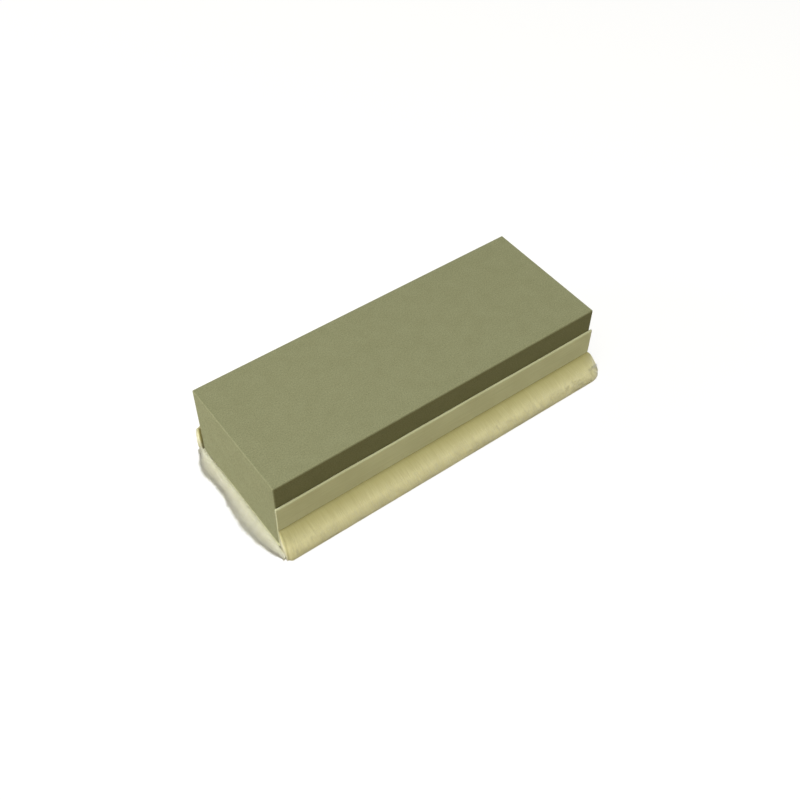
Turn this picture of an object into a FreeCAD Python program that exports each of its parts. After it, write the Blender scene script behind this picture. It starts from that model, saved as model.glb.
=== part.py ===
import FreeCAD, Part
import os

# Bench whetstone on a pile-fabric pad.
#
# A plain rectangular stone block stands in a strip of pile fabric that is glued across its
# underside and up both long sides.  The cloth is bare where it climbs the sides; lower down its
# pile stands out as a thick roll along each side and as a soft sole under the stone, and the
# sole's fibres fan out past the two ends.
#
# Frame: millimetres, origin on the resting surface below the middle of the object,
# X along the stone, Y across it, Z up.

# Stone block
STONE_LENGTH = 202.0
STONE_WIDTH = 76.0
STONE_HEIGHT = 47.0
STONE_LOWER_RADIUS = 3.0  # rounding of the two long lower edges, under the cloth
STONE_ARRIS = 0.4  # flat rubbed on every sharp edge

# Adhesive between stone and cloth
GLUE_THICKNESS = 0.2
GLUE_END_INSET = 1.5  # the film stops this far inside each end of the stone
GLUE_RISE = 31.4  # height of the film up the stone's sides, from the stone's underside

# Backing cloth of the pile fabric
CLOTH_THICKNESS = 1.0
CLOTH_RISE = 32.4  # height of the cloth up the stone's sides, from the stone's underside
CLOTH_END_OVERHANG = 0.5  # how far the cut ends stand past the stone

# Pile: the fibres, as one closed body
SOLE_THICKNESS = 3.8  # pressed pile between the cloth and the resting surface
ROLL_RISE = 15.3  # where the side pile starts, from the stone's underside
ROLL_SHOULDER_REACH = 7.2  # distance out from the stone's side, and the height it has there
ROLL_SHOULDER_HEIGHT = 11.4
ROLL_REACH = 8.4  # widest place of the roll, and its height
ROLL_REACH_HEIGHT = 4.0
ROLL_FOOT_REACH = 7.9  # where the roll meets the resting surface
ROLL_END_RADIUS = 3.0  # rounding of the roll's ends, seen from above
FRINGE_REACH = 8.5  # how far the sole's fibres fan out past each end of the stone
FRINGE_TIP = 0.8  # thickness of the fringe at its tips
FRINGE_SIDE_REACH = 4.0  # how far the fringe passes the stone's sides
FRINGE_CORNER_RADIUS = 7.0  # rounding of the fringe's corners, seen from above

# Levels and offsets that follow from the values above
STONE_UNDERSIDE = SOLE_THICKNESS + CLOTH_THICKNESS + GLUE_THICKNESS
STONE_TOP = STONE_UNDERSIDE + STONE_HEIGHT
GLUE_TOP = STONE_UNDERSIDE + GLUE_RISE
CLOTH_TOP = STONE_UNDERSIDE + CLOTH_RISE
ROLL_TOP = STONE_UNDERSIDE + ROLL_RISE
CLOTH_OUTER = GLUE_THICKNESS + CLOTH_THICKNESS
CLOTH_LENGTH = STONE_LENGTH + 2 * CLOTH_END_OVERHANG
GLUE_LENGTH = STONE_LENGTH - 2 * GLUE_END_INSET

SQRT_HALF = 0.5**0.5
PARTS_FOLDER = "parts"


def point(x, y, z):
    return FreeCAD.Vector(x, y, z)


def line(start, end):
    return Part.LineSegment(start, end).toShape()


def arc(start, middle, end):
    return Part.Arc(start, middle, end).toShape()


def extruded(edges, direction):
    """Closed outline of edges, filled and drawn out along the direction."""
    return Part.Face(Part.Wire(edges)).extrude(direction)


def mould(offset, top, length):
    """The stone's section grown by offset at its sides and underside, up to the level top.

    The lower corners stay concentric with the stone's own, so each layer lies flat on the
    one inside it.
    """
    start = -length / 2
    side = STONE_WIDTH / 2 + offset
    bottom = STONE_UNDERSIDE - offset
    radius = STONE_LOWER_RADIUS + offset
    bend = radius * (1 - SQRT_HALF)
    edges = [
        line(point(start, -side, top), point(start, -side, bottom + radius)),
        arc(
            point(start, -side, bottom + radius),
            point(start, -side + bend, bottom + bend),
            point(start, -side + radius, bottom),
        ),
        line(point(start, -side + radius, bottom), point(start, side - radius, bottom)),
        arc(
            point(start, side - radius, bottom),
            point(start, side - bend, bottom + bend),
            point(start, side, bottom + radius),
        ),
        line(point(start, side, bottom + radius), point(start, side, top)),
        line(point(start, side, top), point(start, -side, top)),
    ]
    return extruded(edges, point(length, 0, 0))


def layer(inner, outer, top, length):
    """A U-shaped layer between two offsets from the stone."""
    return mould(outer, top, length).cut(mould(inner, top, length))


def stone_block():
    block = mould(0, STONE_TOP, STONE_LENGTH)
    end = STONE_LENGTH / 2
    sharp = []
    for edge in block.Edges:
        box = edge.BoundBox
        on_end = box.XLength < STONE_ARRIS and abs(abs(box.XMin) - end) < STONE_ARRIS
        on_top = box.ZMin > STONE_TOP - STONE_ARRIS
        if on_end or on_top:
            sharp.append(edge)
    return block.makeChamfer(STONE_ARRIS, sharp)


def adhesive_film():
    return layer(0, GLUE_THICKNESS, GLUE_TOP, GLUE_LENGTH)


def backing_cloth():
    return layer(GLUE_THICKNESS, CLOTH_OUTER, CLOTH_TOP, CLOTH_LENGTH)


def upright_edges(solid):
    """Edges that run straight up, to be rounded as corners in the plan."""
    found = []
    for edge in solid.Edges:
        box = edge.BoundBox
        if box.ZLength > max(box.XLength, box.YLength) and edge.Curve.TypeId == "Part::GeomLine":
            found.append(edge)
    return found


def side_rolls():
    """Pile along both long sides: a rounded shoulder from the cloth down to the surface."""
    start = -CLOTH_LENGTH / 2
    side = STONE_WIDTH / 2
    crease = side + CLOTH_OUTER
    edges = [line(point(start, -crease, ROLL_TOP), point(start, crease, ROLL_TOP))]
    for hand in (1, -1):
        edges += [
            arc(
                point(start, hand * crease, ROLL_TOP),
                point(start, hand * (side + ROLL_SHOULDER_REACH), ROLL_SHOULDER_HEIGHT),
                point(start, hand * (side + ROLL_REACH), ROLL_REACH_HEIGHT),
            ),
            line(
                point(start, hand * (side + ROLL_REACH), ROLL_REACH_HEIGHT),
                point(start, hand * (side + ROLL_FOOT_REACH), 0),
            ),
        ]
    foot = side + ROLL_FOOT_REACH
    edges.append(line(point(start, -foot, 0), point(start, foot, 0)))
    return extruded(Part.sortEdges(edges)[0], point(CLOTH_LENGTH, 0, 0))


def fringed_sole():
    """Pressed pile under the stone, thinning to a fringe past each end."""
    width = STONE_WIDTH + 2 * FRINGE_SIDE_REACH
    near = STONE_LENGTH / 2
    far = near + FRINGE_REACH
    fall = SOLE_THICKNESS - FRINGE_TIP
    edges = [line(point(-near, -width / 2, SOLE_THICKNESS), point(near, -width / 2, SOLE_THICKNESS))]
    for end in (1, -1):
        edges += [
            arc(
                point(end * near, -width / 2, SOLE_THICKNESS),
                point(end * (near + FRINGE_REACH * SQRT_HALF), -width / 2, FRINGE_TIP + fall * SQRT_HALF),
                point(end * far, -width / 2, FRINGE_TIP),
            ),
            line(point(end * far, -width / 2, FRINGE_TIP), point(end * far, -width / 2, 0)),
        ]
    edges.append(line(point(-far, -width / 2, 0), point(far, -width / 2, 0)))
    slab = extruded(Part.sortEdges(edges)[0], point(0, width, 0))
    plan = Part.makeBox(2 * far, width, SOLE_THICKNESS, point(-far, -width / 2, 0))
    return slab.common(plan.makeFillet(FRINGE_CORNER_RADIUS, upright_edges(plan)))


def pile():
    rolls = side_rolls()
    plan = Part.makeBox(
        CLOTH_LENGTH,
        STONE_WIDTH + 2 * ROLL_REACH,
        ROLL_TOP,
        point(-CLOTH_LENGTH / 2, -STONE_WIDTH / 2 - ROLL_REACH, 0),
    )
    rolls = rolls.common(plan.makeFillet(ROLL_END_RADIUS, upright_edges(plan)))
    inside = mould(CLOTH_OUTER, STONE_TOP, CLOTH_LENGTH + 2 * FRINGE_REACH)
    return rolls.fuse(fringed_sole()).cut(inside).removeSplitter()


NODES = {
    "stone_block": stone_block,
    "adhesive_film": adhesive_film,
    "backing_cloth": backing_cloth,
    "pile": pile,
}

os.makedirs(PARTS_FOLDER, exist_ok=True)
for name, build in NODES.items():
    shape = build()
    shape.exportStep(os.path.join(PARTS_FOLDER, name + ".step"))
    print(f"{name}: {len(shape.Solids)} solid, {shape.Volume / 1000:.2f} cm3, valid {shape.isValid()}")
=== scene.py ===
import math

import bmesh
import bpy
import numpy as np
from mathutils import Matrix, Vector


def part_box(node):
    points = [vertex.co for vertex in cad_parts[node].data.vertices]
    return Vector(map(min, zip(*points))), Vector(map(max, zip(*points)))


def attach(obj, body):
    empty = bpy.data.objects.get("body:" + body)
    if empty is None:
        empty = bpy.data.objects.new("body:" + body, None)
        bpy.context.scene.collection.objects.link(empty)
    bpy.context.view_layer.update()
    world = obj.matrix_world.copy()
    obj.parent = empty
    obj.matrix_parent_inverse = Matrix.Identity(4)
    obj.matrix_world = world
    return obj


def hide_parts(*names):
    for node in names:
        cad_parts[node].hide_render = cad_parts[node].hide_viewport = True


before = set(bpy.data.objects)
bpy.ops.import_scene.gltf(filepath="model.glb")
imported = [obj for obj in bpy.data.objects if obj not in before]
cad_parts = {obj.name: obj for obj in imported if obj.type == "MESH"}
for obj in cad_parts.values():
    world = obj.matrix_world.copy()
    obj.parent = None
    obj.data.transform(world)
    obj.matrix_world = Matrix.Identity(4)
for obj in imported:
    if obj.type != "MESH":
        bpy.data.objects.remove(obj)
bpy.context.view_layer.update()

# A bench whetstone standing in a strip of pile fabric: a fine-grained grey-green block, a bare
# cream cloth margin up its long sides, and silky combed pile that rolls out along the sides and
# fans out past the ends.
#
# Metres, in the row frame: X along the stone, Y across it, Z up.  The long side at -Y is the
# front, and the end at -X is the left end.

MM = 0.001
BODY = "root"

# What the frame says
STONE_LOW, STONE_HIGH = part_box("stone_block")
GLUE_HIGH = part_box("adhesive_film")[1]
CLOTH_LOW, CLOTH_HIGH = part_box("backing_cloth")
PILE_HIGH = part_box("pile")[1]
HALF_LENGTH = STONE_HIGH.x
HALF_WIDTH = STONE_HIGH.y
CLOTH_INNER = GLUE_HIGH.y - HALF_WIDTH
CLOTH_OUTER = CLOTH_HIGH.y - HALF_WIDTH
ROLL_REACH = PILE_HIGH.y - HALF_WIDTH
ROLL_TOP = PILE_HIGH.z

# The stone: rounding of its lower long edges, as in the construction, and width of the paler
# band along its edges
LOWER_RADIUS = 3.0 * MM
PALE_EDGE_BAND = 0.7 * MM

# The cloth
THREAD_PITCH = 0.8 * MM
THREAD_RADIUS = 0.05 * MM
THREADS = 900
BACK_END_INSET = 1.9 * MM  # how much further in the back strip stops at the left end

# Pile, as the fibres lie
ROLL_WIDEST_HEIGHT = 4.0 * MM
ROLL_TUCK = 0.5 * MM  # how far the roll draws in again below its widest place
LEAN_LEFT = math.radians(10.0)  # how far the combed fibres lean towards +X, at each end
LEAN_RIGHT = math.radians(25.0)
LEAN_WANDER = math.radians(2.5)
STRAIGHT_START = 14 * MM  # the lean grows over this distance from the left end
LEFT_ROUNDING = 2.5 * MM  # rounding of the roll's ends, and how much of its reach they keep
LEFT_KEPT = 0.62
RIGHT_ROUNDING = 9 * MM
RIGHT_KEPT = 0.12
FIBRE_LENGTH = 13.0 * MM
FIBRE_RADIUS = 0.07 * MM
PATH_POINTS = 5
FIBRES = 9000  # in each piece of loose or fringe fibres
CORNER_FIBRES = 8000
CORNER_DEPTH = 12 * MM  # how far in from the right end the corner fibres start
SOLE_SHARE = 0.88  # how much of the fringe has solid pile under it
SOLE_FRONT_REACH = 5.0 * MM  # how far the sole passes the stone's sides
SOLE_BACK_REACH = 4.0 * MM
THINNEST = 0.05 * MM

# How far the fringe reaches past the end, tuft by tuft: (place across, reach), in millimetres
LEFT_FRINGE = [
    (-45, 0.5),
    (-41, 3.0),
    (-30, 7.2),
    (-14, 9.5),
    (-3, 8.5),
    (13, 6.4),
    (29, 8.8),
    (38, 4.0),
    (42, 1.0),
]
RIGHT_FRINGE = [(-45, 3.0), (-39, 8.5), (-22, 7.0), (-6, 9.2), (9, 7.4), (24, 9.0), (36, 6.0), (45, 1.0)]

# Pile colours from root to tip.  Painted shade: the roll's dark, yellowish roots stand for the
# shade in the crease where the pile leaves the cloth
ROLL_COLOURS = [
    (0.0, (0.31, 0.28, 0.12)),
    (0.08, (0.46, 0.43, 0.20)),
    (0.26, (0.70, 0.67, 0.38)),
    (0.5, (0.96, 0.93, 0.60)),
    (1.0, (0.93, 0.89, 0.54)),
]
# Painted shade: the fringe's roots are a little darker and yellower, for the shade next to the stone's
# ends
FRINGE_COLOURS = [(0.0, (0.95, 0.95, 0.72)), (0.5, (0.98, 0.98, 0.83)), (1.0, (0.99, 0.99, 0.93))]
# Painted shade: the loose fibres' roots are darker, for the shade deep in the pile
LOOSE_COLOURS = [(0.0, (0.60, 0.56, 0.28)), (0.5, (0.92, 0.89, 0.58)), (1.0, (0.96, 0.94, 0.66))]

# Sides of the block, and the seeds of the pile on each and under it
FRONT, BACK = -1, 1
LEFT, RIGHT = -1, 1
FRONT_SEED, BACK_SEED, SOLE_SEED = 11, 37, 71
WHITE = (1.0, 1.0, 1.0)


# ---------------------------------------------------------------- shader helpers


def add_node(tree, kind, inputs=None, **settings):
    """A new node; inputs maps a socket to a value or to the output that feeds it."""
    made = tree.nodes.new(kind)
    for name, value in settings.items():
        setattr(made, name, value)
    for socket, value in (inputs or {}).items():
        if isinstance(value, bpy.types.NodeSocket):
            tree.links.new(value, made.inputs[socket])
        else:
            made.inputs[socket].default_value = value
    return made


def new_tree(owner):
    owner.use_nodes = True
    owner.node_tree.nodes.clear()
    return owner.node_tree


def new_material(name):
    material = bpy.data.materials.new(name)
    return material, new_tree(material)


def finish_material(tree, surface):
    add_node(tree, "ShaderNodeOutputMaterial", {"Surface": surface})


def object_places(tree, scale=(1.0, 1.0, 1.0)):
    """The piece's own coordinates in metres, stretched by scale."""
    places = add_node(tree, "ShaderNodeTexCoord").outputs["Object"]
    return add_node(tree, "ShaderNodeMapping", {"Vector": places, "Scale": scale}).outputs["Vector"]


def noise(tree, places, scale, detail=2.0, roughness=0.5):
    inputs = {"Vector": places, "Scale": scale, "Detail": detail, "Roughness": roughness}
    return add_node(tree, "ShaderNodeTexNoise", inputs).outputs["Fac"]


def math_node(tree, operation, first, second=0.0):
    return add_node(tree, "ShaderNodeMath", {0: first, 1: second}, operation=operation).outputs[0]


def ramp(tree, factor, stops):
    """A colour ramp through (position, colour) stops."""
    made = add_node(tree, "ShaderNodeValToRGB", {"Fac": factor})
    points = made.color_ramp.elements
    while len(points) < len(stops):
        points.new(0.5)
    for point, (position, colour) in zip(points, stops):
        point.position = position
        point.color = (*colour, 1.0)
    return made.outputs["Color"]


def mix_colour(tree, factor, first, second, blend="MIX"):
    inputs = {"Factor": factor}
    made = add_node(tree, "ShaderNodeMix", inputs, data_type="RGBA", blend_type=blend)
    for socket, value in ((made.inputs[6], first), (made.inputs[7], second)):
        if isinstance(value, bpy.types.NodeSocket):
            tree.links.new(value, socket)
        else:
            socket.default_value = (*value, 1.0)
    return made.outputs[2]


def bump(tree, height, distance, strength=1.0):
    inputs = {"Height": height, "Distance": distance, "Strength": strength}
    return add_node(tree, "ShaderNodeBump", inputs).outputs["Normal"]


# ---------------------------------------------------------------- materials


def near_edges(tree, parts):
    """1 along the stone's edges, where two of its three pairs of faces meet."""
    limits = ((parts["X"], HALF_LENGTH), (parts["Y"], HALF_WIDTH), (parts["Z"], STONE_HIGH.z))
    near = []
    for place, limit in limits:
        beyond = math_node(tree, "SUBTRACT", math_node(tree, "ABSOLUTE", place), limit - PALE_EDGE_BAND)
        share = math_node(tree, "DIVIDE", beyond, PALE_EDGE_BAND)
        near.append(add_node(tree, "ShaderNodeClamp", {0: share}).outputs[0])
    pairs = [math_node(tree, "MULTIPLY", near[i], near[j]) for i, j in ((0, 1), (1, 2), (0, 2))]
    return math_node(tree, "MAXIMUM", pairs[0], math_node(tree, "MAXIMUM", pairs[1], pairs[2]))


def stone_material():
    """Fine even grit: tiny light and dark grains, faint clouds, paler edges, and long sides that
    are coloured darker than the top and ends as painted shade."""
    material, tree = new_material("fine_grit_stone")
    places = object_places(tree)
    parts = add_node(tree, "ShaderNodeSeparateXYZ", {0: places}).outputs
    grain = noise(tree, places, 1500.0, 4.0, 0.65)
    clouds = noise(tree, places, 140.0, 5.0, 0.65)
    colour = ramp(tree, grain, [(0.3, (0.215, 0.222, 0.125)), (0.7, (0.335, 0.345, 0.205))])
    tint = ramp(tree, clouds, [(0.3, (0.955, 0.955, 0.94)), (0.7, (1.045, 1.045, 1.06))])
    colour = mix_colour(tree, 1.0, colour, tint, "MULTIPLY")
    flecks = add_node(tree, "ShaderNodeTexVoronoi", {"Vector": places, "Scale": 700.0})
    dark = ramp(tree, flecks.outputs["Distance"], [(0.08, (0.55, 0.55, 0.5)), (0.2, WHITE)])
    colour = mix_colour(tree, 0.5, colour, dark, "MULTIPLY")
    # Painted shade: the long sides are coloured darker than the top and ends, for the shade that falls
    # on them.
    facing = add_node(tree, "ShaderNodeNewGeometry").outputs["Normal"]
    side_shade_mask = add_node(tree, "ShaderNodeSeparateXYZ", {0: facing}).outputs["Y"]
    side_shade_mask = math_node(tree, "ABSOLUTE", side_shade_mask)
    sides = ramp(tree, side_shade_mask, [(0.4, WHITE), (0.9, (0.58, 0.55, 0.43))])
    colour = mix_colour(tree, 1.0, colour, sides, "MULTIPLY")
    # Paler in patches along the edges.
    edge_paling = math_node(tree, "MULTIPLY", near_edges(tree, parts), noise(tree, places, 260.0, 3.0))
    colour = mix_colour(tree, math_node(tree, "MULTIPLY", edge_paling, 0.4), colour, (0.36, 0.36, 0.23))
    rough = ramp(tree, grain, [(0.2, (0.85,) * 3), (0.8, (0.7,) * 3)])
    inputs = {"Base Color": colour, "Roughness": rough, "Specular IOR Level": 0.25}
    inputs["Normal"] = bump(tree, grain, 0.06 * MM, 0.6)
    finish_material(tree, add_node(tree, "ShaderNodeBsdfPrincipled", inputs).outputs[0])
    return material


def weave_height(tree, pitch):
    """Plain weave of threads along X and along the strip's own width, which is Z up the sides
    and Y across the underside."""
    parts = add_node(tree, "ShaderNodeSeparateXYZ", {0: object_places(tree)})
    across = math_node(tree, "ADD", math_node(tree, "ABSOLUTE", parts.outputs["Y"]), parts.outputs["Z"])
    turn = 2 * math.pi / pitch
    warp = math_node(tree, "SINE", math_node(tree, "MULTIPLY", parts.outputs["X"], turn))
    weft = math_node(tree, "SINE", math_node(tree, "MULTIPLY", across, turn))
    return math_node(tree, "MULTIPLY_ADD", math_node(tree, "MULTIPLY", warp, weft), 0.5)


def cloth_material():
    """Close woven cream backing cloth with faint slubs along the strip, darkened as painted shade."""
    material, tree = new_material("woven_backing")
    slubs = noise(tree, object_places(tree, (40.0, 1100.0, 1100.0)), 1.0, 3.0)
    soil = noise(tree, object_places(tree), 45.0, 4.0)
    weave = weave_height(tree, THREAD_PITCH)
    # Painted shade: these colours are darker than the cream cloth itself, for the shade that falls on
    # the cloth up the long sides.
    colour = ramp(tree, slubs, [(0.3, (0.64, 0.65, 0.42)), (0.7, (0.70, 0.71, 0.48))])
    gaps = ramp(tree, weave, [(0.0, (0.8, 0.8, 0.8)), (1.0, WHITE)])
    colour = mix_colour(tree, 0.25, colour, gaps, "MULTIPLY")
    patches = ramp(tree, soil, [(0.3, (0.94, 0.93, 0.9)), (0.7, (1.03, 1.03, 1.03))])
    colour = mix_colour(tree, 1.0, colour, patches, "MULTIPLY")
    shader = add_node(
        tree,
        "ShaderNodeBsdfPrincipled",
        {
            "Base Color": colour,
            "Roughness": 0.85,
            "Specular IOR Level": 0.2,
            "Sheen Weight": 0.15,
            "Normal": bump(tree, weave, 0.12 * MM, 0.7),
        },
    )
    finish_material(tree, shader.outputs[0])
    return material


def adhesive_material():
    """Dried contact adhesive: dull amber with paler, cloudy patches."""
    material, tree = new_material("dried_adhesive")
    clouds = noise(tree, object_places(tree), 220.0, 4.0)
    colour = ramp(tree, clouds, [(0.35, (0.16, 0.13, 0.06)), (0.65, (0.30, 0.25, 0.12))])
    shader = add_node(
        tree,
        "ShaderNodeBsdfPrincipled",
        {"Base Color": colour, "Roughness": 0.45, "Normal": bump(tree, clouds, 0.05 * MM)},
    )
    finish_material(tree, shader.outputs[0])
    return material


def pile_material(name, combed, stops):
    """Silky cream pile: coloured from root to tip by the stops, whose darker roots are painted
    shade, with a tone of its own per fibre or lock.

    A combed body also has fine streaks along its fibres, in colour and in relief.
    """
    material, tree = new_material(name)
    facts = add_node(tree, "ShaderNodeAttribute", attribute_name="strand")
    parts = add_node(tree, "ShaderNodeSeparateColor", {0: facts.outputs["Color"]})
    along, own = parts.outputs[0], parts.outputs[1]
    colour = ramp(tree, along, stops)
    tones = ramp(tree, own, [(0.0, (0.93, 0.92, 0.87)), (1.0, WHITE)])
    colour = mix_colour(tree, 1.0, colour, tones, "MULTIPLY")
    inputs = {"Roughness": 0.5, "Specular IOR Level": 0.4, "Sheen Weight": 0.5, "Sheen Roughness": 0.4}
    if combed:
        comb = add_node(tree, "ShaderNodeAttribute", attribute_name="comb").outputs["Vector"]
        stretched = add_node(tree, "ShaderNodeMapping", {"Vector": comb, "Scale": (1700.0, 90.0, 1.0)})
        streaks = noise(tree, stretched.outputs["Vector"], 1.0, 3.0, 0.6)
        lines = ramp(tree, streaks, [(0.3, (0.90, 0.89, 0.83)), (0.65, WHITE)])
        colour = mix_colour(tree, 1.0, colour, lines, "MULTIPLY")
        inputs["Normal"] = bump(tree, streaks, 0.07 * MM, 0.5)
    inputs["Base Color"] = colour
    finish_material(tree, add_node(tree, "ShaderNodeBsdfPrincipled", inputs).outputs[0])
    return material


# ---------------------------------------------------------------- mesh helpers


def new_piece(name, points, faces, material, node):
    """A mesh object that rides on the block's body and stands for a construction node."""
    mesh = bpy.data.meshes.new(name)
    mesh.from_pydata(points, [], faces)
    mesh.polygons.foreach_set("use_smooth", [True] * len(mesh.polygons))
    mesh.materials.append(material)
    mesh.update()
    piece = bpy.data.objects.new(name, mesh)
    bpy.context.scene.collection.objects.link(piece)
    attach(piece, BODY)
    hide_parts(node)
    return piece


def smoothstep(value):
    value = np.clip(value, 0.0, 1.0)
    return value * value * (3.0 - 2.0 * value)


def wander(places, spacing, seed):
    """Smooth random values from -1 to 1 along a line, one new value every spacing."""
    lattice = np.random.default_rng(seed).uniform(-1.0, 1.0, 4096)
    steps = np.asarray(places) / spacing + 1024.0
    cell = np.floor(steps).astype(int)
    blend = smoothstep(steps - cell)
    return lattice[cell % 4096] * (1.0 - blend) + lattice[(cell + 1) % 4096] * blend


def wander_2d(across, along, across_spacing, along_spacing, seed):
    """Smooth random values from -1 to 1 over a surface, with its own spacing each way."""
    size = 512
    lattice = np.random.default_rng(seed).uniform(-1.0, 1.0, (size, size))
    u = np.asarray(across) / across_spacing + size
    v = np.asarray(along) / along_spacing + size
    column, row = np.floor(u).astype(int), np.floor(v).astype(int)
    s, t = smoothstep(u - column), smoothstep(v - row)
    near = lattice[row % size, column % size] * (1 - s) + lattice[row % size, (column + 1) % size] * s
    row = row + 1
    far = lattice[row % size, column % size] * (1 - s) + lattice[row % size, (column + 1) % size] * s
    return near * (1 - t) + far * t


def unit(vectors):
    return vectors / np.maximum(np.linalg.norm(vectors, axis=-1, keepdims=True), 1e-12)


def add_colours(mesh, name, values):
    made = mesh.color_attributes.new(name, "FLOAT_COLOR", "POINT")
    made.data.foreach_set("color", np.ascontiguousarray(values, np.float32).ravel())


def grid_piece(name, points, material, node):
    """A closed body from rows of points: its last row joins its first, and both ends of its
    rows are capped."""
    rows, columns = points.shape[:2]
    index = np.arange(rows * columns).reshape(rows, columns)
    index = np.concatenate([index, index[:1]])
    corners = [index[:-1, :-1], index[:-1, 1:], index[1:, 1:], index[1:, :-1]]
    faces = np.stack(corners, axis=-1).reshape(-1, 4).tolist()
    faces += [index[:-1, 0].tolist(), index[:-1, -1][::-1].tolist()]
    piece = new_piece(name, points.reshape(-1, 3).tolist(), faces, material, node)
    shape = bmesh.new()
    shape.from_mesh(piece.data)
    bmesh.ops.recalc_face_normals(shape, faces=shape.faces)
    shape.to_mesh(piece.data)
    shape.free()
    return piece


def pile_body(name, points, along, tone, line, run, material):
    """A combed body whose points know how far along the fibres they lie and on which line."""
    piece = grid_piece(name, points, material, "pile")
    facts = np.ones((*points.shape[:2], 4))
    facts[:, :, 0] = along
    facts[:, :, 1] = tone
    add_colours(piece.data, "strand", facts)
    comb = np.zeros_like(points)
    comb[:, :, 0] = line
    comb[:, :, 1] = run
    made = piece.data.attributes.new("comb", "FLOAT_VECTOR", "POINT")
    made.data.foreach_set("vector", comb.astype(np.float32).ravel())
    return piece


def strands(name, paths, radius, tones, facing, material, rng, node="pile"):
    """One piece of many tapered fibres, each a closed flat spike whose broad side faces out.

    paths holds each fibre's centre line, root first, tones has one value per fibre, and facing
    is the direction that the broad sides turn to.
    """
    count, steps = paths.shape[:2]
    ahead = unit(np.gradient(paths, axis=1))
    side = unit(np.cross(ahead, np.broadcast_to(facing, ahead.shape)))
    up = np.cross(side, ahead)
    share = np.linspace(0.0, 1.0, steps)
    half_width = radius * (1.0 - 0.9 * share**2)[None, :, None]
    corners = [side, -side, -0.4 * up]
    rings = np.stack([paths + half_width * corner for corner in corners], axis=2)[:, :-1]
    size = 3 * (steps - 1) + 1
    places = np.concatenate([rings.reshape(count, -1, 3), paths[:, -1:]], axis=1)
    one = []
    for ring in range(steps - 2):
        for corner in range(3):
            low, beside = 3 * ring + corner, 3 * ring + (corner + 1) % 3
            one += [(low, beside, beside + 3), (low, beside + 3, low + 3)]
    last = 3 * (steps - 2)
    one += [(last, last + 1, size - 1), (last + 1, last + 2, size - 1), (last + 2, last, size - 1)]
    one.append((2, 1, 0))
    faces = (np.array(one)[None] + size * np.arange(count)[:, None, None]).reshape(-1, 3)
    piece = new_piece(name, places.reshape(-1, 3).tolist(), faces.tolist(), material, node)
    facts = np.ones((count, size, 4))
    facts[:, :, 0] = np.append(np.repeat(share[:-1], 3), 1.0)[None, :]
    facts[:, :, 1] = 0.5 * np.asarray(tones)[:, None] + 0.5 * rng.uniform(0.0, 1.0, (count, 1))
    add_colours(piece.data, "strand", facts)
    return piece


# ---------------------------------------------------------------- the roll's outline


def roll_outline():
    """(distance down the roll, distance out from the stone's side, height), from the crease
    where the pile leaves the cloth, over the shoulder, to the surface it rests on."""
    turn = np.linspace(0.0, math.pi / 2, 60)
    out = CLOTH_OUTER + (ROLL_REACH - CLOTH_OUTER) * np.sin(turn)
    height = ROLL_WIDEST_HEIGHT + (ROLL_TOP - ROLL_WIDEST_HEIGHT) * np.cos(turn)
    fall = np.linspace(0.0, 1.0, 12)[1:]
    out = np.concatenate([out, ROLL_REACH - ROLL_TUCK * fall**2])
    height = np.concatenate([height, ROLL_WIDEST_HEIGHT * (1.0 - fall)])
    run = np.concatenate([[0.0], np.cumsum(np.hypot(np.diff(out), np.diff(height)))])
    return run, out, height


RUN, OUT, HEIGHT = roll_outline()
ROLL_RUN = RUN[-1]


def on_roll(distance, depth):
    """Distance out and height at a distance down the roll, that depth below its surface."""
    distance = np.clip(distance, 0.0, ROLL_RUN)
    out = np.interp(distance, RUN, OUT)
    height = np.interp(distance, RUN, HEIGHT)
    step = 0.3 * MM
    d_out = np.interp(distance + step, RUN, OUT) - np.interp(distance - step, RUN, OUT)
    d_height = np.interp(distance + step, RUN, HEIGHT) - np.interp(distance - step, RUN, HEIGHT)
    length = np.maximum(np.hypot(d_out, d_height), 1e-9)
    return out + depth * d_height / length, height - depth * d_out / length


# ---------------------------------------------------------------- pieces


def lean_at(line):
    """How far the fibres lean towards +X, by the place where their line leaves the crease."""
    share = (line - CLOTH_LOW.x) / (CLOTH_HIGH.x - CLOTH_LOW.x)
    even = LEAN_LEFT + (LEAN_RIGHT - LEAN_LEFT) * share
    grow = smoothstep((line - CLOTH_LOW.x) / STRAIGHT_START)
    return (even + LEAN_WANDER * wander(line, 11 * MM, 5)) * grow


def roll_relief(line, run, seed):
    """Height of the combed locks above the even roll, and the tone of each."""
    grow = smoothstep(run / (7 * MM)) * (1.0 - 0.85 * smoothstep((run / ROLL_RUN - 0.6) / 0.4))
    broad = wander_2d(line, run, 7.0 * MM, 20 * MM, seed)
    locks = wander_2d(line, run, 2.2 * MM, 12 * MM, seed + 1)
    fine = wander_2d(line, run, 0.8 * MM, 8 * MM, seed + 2)
    relief = (0.16 * broad + 0.07 * locks + 0.035 * fine) * grow * MM
    return relief, 0.5 + 0.25 * broad + 0.25 * locks


def place_on_roll(line, run, depth, hand, seed):
    """Points of the combed roll: out from the side by the roll's outline and its locks, with
    both ends rounded off."""
    relief, tone = roll_relief(line, run, seed)
    out, height = on_roll(run, depth - relief)
    x = line + np.tan(lean_at(line)) * run
    left = np.clip((line - CLOTH_LOW.x) / LEFT_ROUNDING, 0.0, 1.0)
    right = np.clip((CLOTH_HIGH.x - line) / RIGHT_ROUNDING, 0.0, 1.0)
    shrink = np.sqrt(np.maximum(1.0 - (1.0 - left) ** 2, LEFT_KEPT))
    shrink = shrink * np.sqrt(np.maximum(1.0 - (1.0 - right) ** 2, RIGHT_KEPT))
    out = CLOTH_OUTER + (out - CLOTH_OUTER) * shrink
    y = hand * (HALF_WIDTH + out)
    return np.stack([x, y, np.maximum(height, THINNEST)], axis=-1), tone


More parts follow.
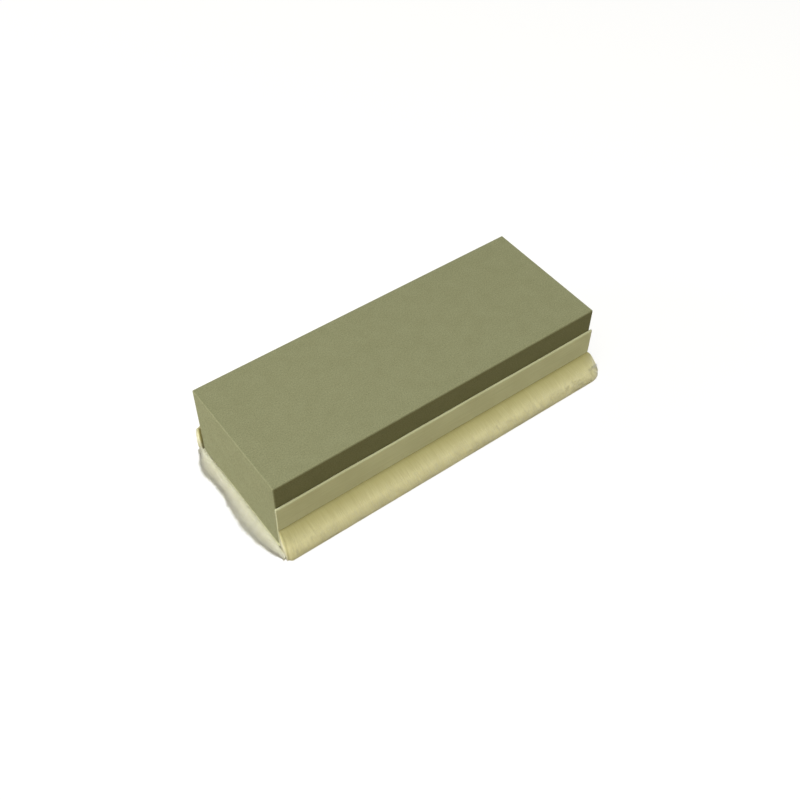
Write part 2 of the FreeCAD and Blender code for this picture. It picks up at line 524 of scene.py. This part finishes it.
def side_roll(name, hand, seed, material):
    """The body of the combed roll along one long side, closed against the cloth and the floor."""
    lines = np.linspace(CLOTH_LOW.x, CLOTH_HIGH.x, 900)
    runs = np.linspace(0.0, ROLL_RUN, 56)
    line, run = np.meshgrid(lines, runs)
    outer, tone = place_on_roll(line, run, 0.0, hand, seed)
    inner = outer[[-1, 0]].copy()
    inner[:, :, 1] = hand * (HALF_WIDTH + CLOTH_OUTER - 0.1 * MM)
    inner[0, :, 2] = THINNEST
    along = np.concatenate([run / ROLL_RUN, 0.0 * run[:2]])
    rows = np.concatenate([np.arange(len(runs)), [len(runs) - 1, 0]])
    points = np.concatenate([outer, inner])
    return pile_body(name, points, along, tone[rows], line[rows], run[rows], material)


def side_fibres(name, hand, count, seed, roll_seed, material):
    """Loose fibres that lie on the roll."""
    rng = np.random.default_rng(seed)
    line = rng.uniform(CLOTH_LOW.x, CLOTH_HIGH.x, count)
    root = ROLL_RUN * (0.1 + 0.7 * rng.uniform(0.0, 1.0, count))
    length = np.minimum(FIBRE_LENGTH * rng.uniform(0.6, 1.2, count), ROLL_RUN - root)
    along = np.linspace(0.0, 1.0, PATH_POINTS)[None, :]
    run = root[:, None] + length[:, None] * along
    sway = 0.4 * MM * rng.normal(size=(count, 1)) * along**2
    proud = rng.uniform(-0.05, 0.16, (count, 1)) * MM
    depth = 0.4 * MM * (1.0 - along) ** 3 - proud * along
    lines = np.clip(line[:, None] + sway, CLOTH_LOW.x, CLOTH_HIGH.x)
    paths, tone = place_on_roll(lines, run, depth, hand, roll_seed)
    return strands(name, paths, FIBRE_RADIUS, tone[:, 2], (0.0, hand, 0.5), material, rng)


def corner_fibres(name, count, seed, material):
    """Short fibres at the right end of both rolls, which sweep out past it."""
    rng = np.random.default_rng(seed)
    hand = rng.choice([-1.0, 1.0], count)
    back = CORNER_DEPTH * rng.uniform(0.0, 1.0, count) ** 1.3
    root = ROLL_RUN * (0.4 + 0.5 * rng.uniform(0.0, 1.0, count))
    depth = 3.0 * MM * rng.uniform(0.0, 1.0, count)
    nearness = 1.0 - back / CORNER_DEPTH
    lean = np.radians(28.0 + 30.0 * nearness**2 + rng.normal(0.0, 6.0, count))
    length = rng.uniform(5.0, 9.5, count) * MM
    along = np.linspace(0.0, 1.0, PATH_POINTS)[None, :]
    bend = lean[:, None] * (0.75 + 0.25 * along)
    run = root[:, None] + np.cos(bend) * length[:, None] * along
    x = CLOTH_HIGH.x - back[:, None] + np.sin(bend) * length[:, None] * along
    out, height = on_roll(run, depth[:, None] * (1.0 - 0.3 * along))
    drawn = 1.0 - 0.45 * smoothstep((x - CLOTH_HIGH.x + 3 * MM) / (12 * MM))
    out = CLOTH_OUTER + np.maximum(out - CLOTH_OUTER, 0.1 * MM) * drawn
    paths = np.stack([x, hand[:, None] * (HALF_WIDTH + out), np.maximum(height, 0.1 * MM)], axis=-1)
    facing = np.stack([np.full(count, 0.1), 0.5 * hand, np.full(count, 0.9)], axis=-1)[:, None, :]
    return strands(name, paths, FIBRE_RADIUS, rng.uniform(0.3, 1.0, count), facing, material, rng)


def fringe_reach(y, outline, seed):
    """How far the fringe reaches past the stone's end: broad tufts, then finer ones."""
    places, reaches = np.array(outline, float).T * MM
    spread = 4 * MM
    smooth = sum(np.interp(y + shift, places, reaches) for shift in (-spread, 0.0, spread)) / 3
    return np.maximum(smooth + 0.2 * MM * wander(y, 1.8 * MM, seed), 0.3 * MM)


def fringe_slope(share):
    """Height of the solid pile of the fringe, from the stone's end, 0, to its own end, 1."""
    return 0.2 * MM + (STONE_LOW.z - 0.4 * MM) * (1.0 - np.clip(share, 0.0, 1.0)) ** 1.15


def sole(name, seed, material):
    """Pressed pile under the stone, which thins away under the fringe past each end."""
    across = np.linspace(-HALF_WIDTH - SOLE_FRONT_REACH, HALF_WIDTH + SOLE_BACK_REACH, 330)
    beyond = np.linspace(0.0, 1.0, 30)
    inside = np.linspace(-1.0, 1.0, 60)[1:-1]
    left_reach = SOLE_SHARE * fringe_reach(across, LEFT_FRINGE, seed)[None, :]
    right_reach = SOLE_SHARE * fringe_reach(across, RIGHT_FRINGE, seed)[None, :]
    left = HALF_LENGTH + beyond[::-1, None] * left_reach
    right = HALF_LENGTH + beyond[:, None] * right_reach
    middle = np.repeat(inside[:, None] * HALF_LENGTH, len(across), axis=1)
    x = np.concatenate([-left, middle, right])
    y = np.repeat(across[None, :], len(x), axis=0)
    past = np.maximum(np.abs(x) - HALF_LENGTH, 0.0)
    share = past / np.where(x < 0, left_reach, right_reach)
    free = smoothstep((past - 0.05 * MM) / (0.35 * MM))
    ceiling = CLOTH_LOW.z - 0.02 * MM + free * (STONE_LOW.z + 0.3 * MM - CLOTH_LOW.z)
    top = (CLOTH_LOW.z - 0.02 * MM) * (1.0 - free) + fringe_slope(share) * free
    relief = 0.06 * MM * wander_2d(y, past, 1.5 * MM, 7 * MM, seed + 4)
    top = top + relief * smoothstep(share * 4) * (1.0 - share)
    top = np.clip(top, 0.12 * MM, ceiling)
    low = (0.06 + 0.04 * (1.0 + wander_2d(y, x, 1.0 * MM, 7 * MM, seed + 6))) * MM
    low = np.minimum(low, top - THINNEST)
    upper = np.stack([x, y, top], axis=-1)
    lower = np.stack([x, y, low], axis=-1)[::-1]
    tone = 0.75 + 0.25 * wander_2d(y, past, 2 * MM, 9 * MM, seed + 7)
    rows = np.concatenate([np.arange(len(x)), np.arange(len(x))[::-1]])
    points = np.concatenate([upper, lower])
    # Painted shade: along starts at 0.4 next to the stone's ends, so the pressed pile there takes the
    # darker, yellower root colours.
    return pile_body(name, points, 0.4 + 0.6 * share[rows], tone[rows], y[rows], past[rows], material)


def end_fibres(name, hand, count, outline, seed, reach_seed, material):
    """Fine fibres that fan out past one end and make its soft edge: hidden below the stone,
    then just above the solid pile.  hand is LEFT or RIGHT."""
    rng = np.random.default_rng(seed)
    y = rng.uniform(-HALF_WIDTH - 5.0 * MM, HALF_WIDTH + 3.5 * MM, count)
    reach = fringe_reach(y, outline, reach_seed)
    root_x = -3.0 * MM * rng.uniform(0.0, 1.0, count)
    tip_x = reach * (0.5 + 0.62 * rng.uniform(0.0, 1.0, count) ** 0.6)
    along = np.linspace(0.0, 1.0, PATH_POINTS)[None, :]
    past = root_x[:, None] + (tip_x - root_x)[:, None] * along
    fan = 0.30 * (y / HALF_WIDTH) ** 3 + 0.2 * wander(y, 5 * MM, seed + 1)
    fan = fan + rng.normal(0.0, 0.07, count)
    place = y[:, None] + fan[:, None] * np.maximum(past, 0.0)
    start = CLOTH_LOW.z * rng.uniform(0.15, 0.95, (count, 1))
    settle = smoothstep((past + 1.5 * MM) / (reach[:, None] + 1.5 * MM))
    rest = rng.uniform(0.15, 1.1, (count, 1)) * MM
    under = start * (1.0 - settle) + np.minimum(rest, start) * settle
    above = fringe_slope(past / (SOLE_SHARE * reach[:, None])) + rest * 0.25
    height = np.where(past > 0.3 * MM, above, under)
    paths = np.stack([hand * (HALF_LENGTH + past), place, np.maximum(height, 0.1 * MM)], axis=-1)
    tone = 0.5 + 0.5 * wander(y, 2 * MM, seed + 2)
    return strands(name, paths, FIBRE_RADIUS, tone, (0.0, 0.0, 1.0), material, rng)


def cloth_section(offset, top, counts):
    """Points across the strip at that distance from the stone: (hand-side place, height), down
    the front, round the lower corner, under the stone and up the back.

    top is the height of the strip's upper edges.
    """
    side, radius = HALF_WIDTH + offset, LOWER_RADIUS + offset
    bottom = STONE_LOW.z - offset
    rise, bend, flat = counts
    turn = np.linspace(0.0, math.pi / 2, bend)[1:-1]
    down = np.linspace(top, bottom + radius, rise)
    corner_y = side - radius + radius * np.cos(turn)
    corner_z = bottom + radius - radius * np.sin(turn)
    half_y = np.concatenate([np.full(rise, side), corner_y])
    half_z = np.concatenate([down, corner_z])
    under = np.linspace(-(side - radius), side - radius, flat)
    y = np.concatenate([-half_y, under, half_y[::-1]])
    z = np.concatenate([half_z, np.full(flat, bottom), half_z[::-1]])
    return y, z


def backing(name, material):
    """The cloth strip, bent round the underside: slightly wavy upper edges and cut ends that a
    knife left a little uneven, standing back at the far left."""
    counts = (26, 9, 30)
    inner_y, inner_z = cloth_section(CLOTH_INNER + 0.02 * MM, CLOTH_HIGH.z, counts)
    outer_y, outer_z = cloth_section(CLOTH_OUTER, CLOTH_HIGH.z, counts)
    y = np.concatenate([outer_y, inner_y[::-1]])[:, None]
    z = np.concatenate([outer_z, inner_z[::-1]])[:, None]
    share = np.linspace(0.0, 1.0, 420)[None, :]
    place = np.where(np.abs(y) > HALF_WIDTH, np.sign(y) * (HALF_WIDTH + z), y)
    uneven = 0.22 * MM * wander(place, 6 * MM, 91)
    left = CLOTH_LOW.x + BACK_END_INSET * smoothstep((place - HALF_WIDTH * 0.4) / HALF_WIDTH) + uneven
    right = CLOTH_HIGH.x + 0.3 * MM - 0.22 * MM * wander(place, 7 * MM, 92)
    under = 0.5 * MM * smoothstep((HALF_WIDTH - np.abs(place)) / (3 * MM))
    left, right = left + under, right - under
    x = left + (right - left) * share
    upper = smoothstep((z - 0.8 * CLOTH_HIGH.z) / (0.2 * CLOTH_HIGH.z))
    wave = upper * (0.16 * wander(x, 16 * MM, 93) - 0.1) * MM
    lift = np.where(np.abs(y) > HALF_WIDTH + CLOTH_INNER + 0.1 * MM, 0.05, 0.0) * MM
    lift = lift * wander_2d(x, np.broadcast_to(z, x.shape), 4 * MM, 3 * MM, 94)
    points = np.stack([x, y + np.sign(y) * lift, z + wave], axis=-1)
    return grid_piece(name, points, material, "backing_cloth")


def cut_threads(name, count, seed, material):
    """Short broken threads at the cloth's two cut ends and along its upper edges."""
    rng = np.random.default_rng(seed)
    level = rng.uniform(0.3, 1.0, count) * CLOTH_HIGH.z
    hand = rng.choice([-1.0, 1.0], count)
    end = rng.choice([-1.0, 1.0], count)
    at_top = rng.uniform(0.0, 1.0, count) < 0.45
    run = rng.uniform(CLOTH_LOW.x, CLOTH_HIGH.x, count)
    behind = (end < 0) & (hand > 0)
    x = np.where(at_top, run, end * (CLOTH_HIGH.x - 0.3 * MM) + np.where(behind, BACK_END_INSET, 0.0))
    z = np.where(at_top, CLOTH_HIGH.z - 0.25 * MM, level)
    y = hand * (HALF_WIDTH + rng.uniform(CLOTH_INNER, CLOTH_OUTER, count))
    ahead_x = np.where(at_top, 0.4 * rng.normal(size=count), end)
    ahead_y = 0.35 * rng.normal(size=count)
    ahead_z = np.where(at_top, 1.0, 0.4 * rng.normal(size=count))
    ahead = np.stack([ahead_x, ahead_y, ahead_z], axis=-1)
    along = np.linspace(0.0, 1.0, PATH_POINTS)[None, :, None]
    length = rng.uniform(0.25, 0.8, (count, 1, 1)) * MM
    curl = 0.2 * MM * rng.normal(size=(count, 1, 3)) * along**2
    paths = np.stack([x, y, z], axis=-1)[:, None, :] + unit(ahead)[:, None, :] * length * along + curl
    facing = np.stack([0.0 * hand, hand, 0.0 * hand + 0.3], axis=-1)[:, None, :]
    tones = rng.uniform(0.0, 1.0, count)
    return strands(
        name, paths, THREAD_RADIUS, tones, facing, material, rng, node="backing_cloth"
    )


# ---------------------------------------------------------------- camera, light and floor


def add_camera():
    """Looking down at the near left corner of the block, a little under half a metre away.

    The place is given from the stone's near left upper corner, in widths of the stone.
    """
    width = 2 * HALF_WIDTH
    corner = Vector((STONE_LOW.x, STONE_LOW.y, STONE_HIGH.z))
    place = corner + width * Vector((-1.619, -3.415, 5.134))
    bearing, dip, roll = (math.radians(angle) for angle in (52.966, 49.148, 0.794))
    forward = Vector(
        (math.cos(dip) * math.cos(bearing), math.cos(dip) * math.sin(bearing), -math.sin(dip))
    )
    level = forward.cross(Vector((0, 0, 1))).normalized()
    above = level.cross(forward)
    right = math.cos(roll) * level + math.sin(roll) * above
    up = math.cos(roll) * above - math.sin(roll) * level
    camera = bpy.data.objects.new("camera", bpy.data.cameras.new("camera"))
    camera.data.lens = 46.8
    camera.data.clip_start = 0.01
    camera.matrix_world = Matrix(
        (
            (right.x, up.x, -forward.x, place.x),
            (right.y, up.y, -forward.y, place.y),
            (right.z, up.z, -forward.z, place.z),
            (0, 0, 0, 1),
        )
    )
    bpy.context.scene.collection.objects.link(camera)
    bpy.context.scene.camera = camera


def add_lamp(name, bearing, height, distance, size, level, colour):
    """A square soft box aimed at the block.

    level is the light that it gives a surface facing it, where 1 shows a colour as written.
    """
    lamp = bpy.data.lights.new(name, "AREA")
    lamp.size = size
    lamp.energy = level * (math.pi * distance) ** 2
    lamp.color = colour
    toward = Vector(
        (
            math.cos(height) * math.cos(bearing),
            math.cos(height) * math.sin(bearing),
            math.sin(height),
        )
    )
    holder = bpy.data.objects.new(name, lamp)
    holder.location = toward * distance
    holder.rotation_euler = toward.to_track_quat("Z", "Y").to_euler()
    bpy.context.scene.collection.objects.link(holder)


def add_strip(name, hand, power):
    """A low strip lamp with a honeycomb grid, level with the roll of one long side."""
    data = bpy.data.lights.new(name, "AREA")
    data.shape = "RECTANGLE"
    data.size, data.size_y = 0.26, 0.009
    data.spread = math.radians(16.0)
    data.energy = power
    data.color = (1.0, 0.98, 0.88)
    lamp = bpy.data.objects.new(name, data)
    lamp.location = (0.0, hand * (HALF_WIDTH + 70 * MM), 9 * MM)
    lamp.rotation_euler = (math.radians(90.0), 0.0, math.radians(180.0 if hand > 0 else 0.0))
    lamp.visible_camera = False
    bpy.context.scene.collection.objects.link(lamp)


def seen_directly(tree):
    """1 for rays that show the background itself: from the camera, or by gloss or glass."""
    path = add_node(tree, "ShaderNodeLightPath").outputs
    first = math_node(tree, "MAXIMUM", path["Is Camera Ray"], path["Is Glossy Ray"])
    return math_node(tree, "MAXIMUM", first, path["Is Transmission Ray"])


def add_floor():
    """A white sweep that is white to the camera and still takes the block's shadow."""
    material, tree = new_material("white_sweep")
    speck = noise(tree, object_places(tree), 8.0, 2.0)
    paper = ramp(tree, speck, [(0.0, (0.46, 0.41, 0.24)), (1.0, (0.49, 0.44, 0.26))])
    bounce = add_node(tree, "ShaderNodeBsdfDiffuse", {"Color": paper})
    shade = add_node(tree, "ShaderNodeBsdfDiffuse", {"Color": (0.24, 0.24, 0.24, 1.0)})
    glow = add_node(tree, "ShaderNodeEmission", {"Color": (1.0, 1.0, 1.0, 1.0), "Strength": 0.84})
    shown = add_node(tree, "ShaderNodeAddShader", {0: shade.outputs[0], 1: glow.outputs[0]})
    both = {0: seen_directly(tree), 1: bounce.outputs[0], 2: shown.outputs[0]}
    finish_material(tree, add_node(tree, "ShaderNodeMixShader", both).outputs[0])
    half = 6.0
    mesh = bpy.data.meshes.new("floor")
    corners = [(-half, -half, 0.0), (half, -half, 0.0), (half, half, 0.0), (-half, half, 0.0)]
    mesh.from_pydata(corners, [], [(0, 1, 2, 3)])
    mesh.materials.append(material)
    floor = bpy.data.objects.new("floor", mesh)
    bpy.context.scene.collection.objects.link(floor)


def add_world():
    world = bpy.data.worlds.new("studio")
    bpy.context.scene.world = world
    tree = new_tree(world)
    soft = add_node(tree, "ShaderNodeBackground", {"Color": (1.0, 0.90, 0.62, 1.0), "Strength": 0.12})
    white = add_node(tree, "ShaderNodeBackground", {"Color": (1.0, 1.0, 1.0, 1.0), "Strength": 1.0})
    both = {0: seen_directly(tree), 1: soft.outputs[0], 2: white.outputs[0]}
    mixed = add_node(tree, "ShaderNodeMixShader", both)
    add_node(tree, "ShaderNodeOutputWorld", {"Surface": mixed.outputs[0]})


# ---------------------------------------------------------------- the scene

bpy.context.scene.view_settings.view_transform = "Standard"
add_camera()
add_world()
add_floor()
add_lamp("key", math.radians(152.0), math.radians(17.0), 1.6, 0.6, 0.57, (1.0, 1.0, 0.97))
add_lamp("overhead", math.radians(-140.0), math.radians(69.0), 1.5, 1.0, 0.74, (1.0, 0.985, 0.89))
add_strip("front_strip", FRONT, 0.0016)
add_strip("back_strip", BACK, 0.0016)
add_lamp("side", math.radians(-35.0), math.radians(25.0), 0.55, 0.3, 0.08, (0.95, 1.0, 0.95))

hard_parts = {"stone_block": stone_material(), "adhesive_film": adhesive_material()}
for node_name, material in hard_parts.items():
    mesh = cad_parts[node_name].data
    mesh.materials.clear()
    mesh.materials.append(material)

combed = pile_material("combed_pile", True, ROLL_COLOURS)
pressed = pile_material("pressed_pile", True, FRINGE_COLOURS)
loose = pile_material("loose_fibre", False, LOOSE_COLOURS)
fringe = pile_material("fringe_fibre", False, FRINGE_COLOURS)
on_cloth = [
    side_roll("pile_roll_front", FRONT, FRONT_SEED, combed),
    side_roll("pile_roll_back", BACK, BACK_SEED, combed),
    sole("pile_sole", SOLE_SEED, pressed),
    side_fibres("pile_fibres_front", FRONT, FIBRES, 101, FRONT_SEED, loose),
    side_fibres("pile_fibres_back", BACK, FIBRES, 102, BACK_SEED, loose),
    end_fibres("pile_fringe_left", LEFT, FIBRES, LEFT_FRINGE, 103, SOLE_SEED, fringe),
    end_fibres("pile_fringe_right", RIGHT, FIBRES, RIGHT_FRINGE, 104, SOLE_SEED, fringe),
    corner_fibres("pile_fringe_corners", CORNER_FIBRES, 105, fringe),
    cut_threads("cloth_threads", THREADS, 106, fringe),
]
cloth = backing("backing_cloth_strip", cloth_material())
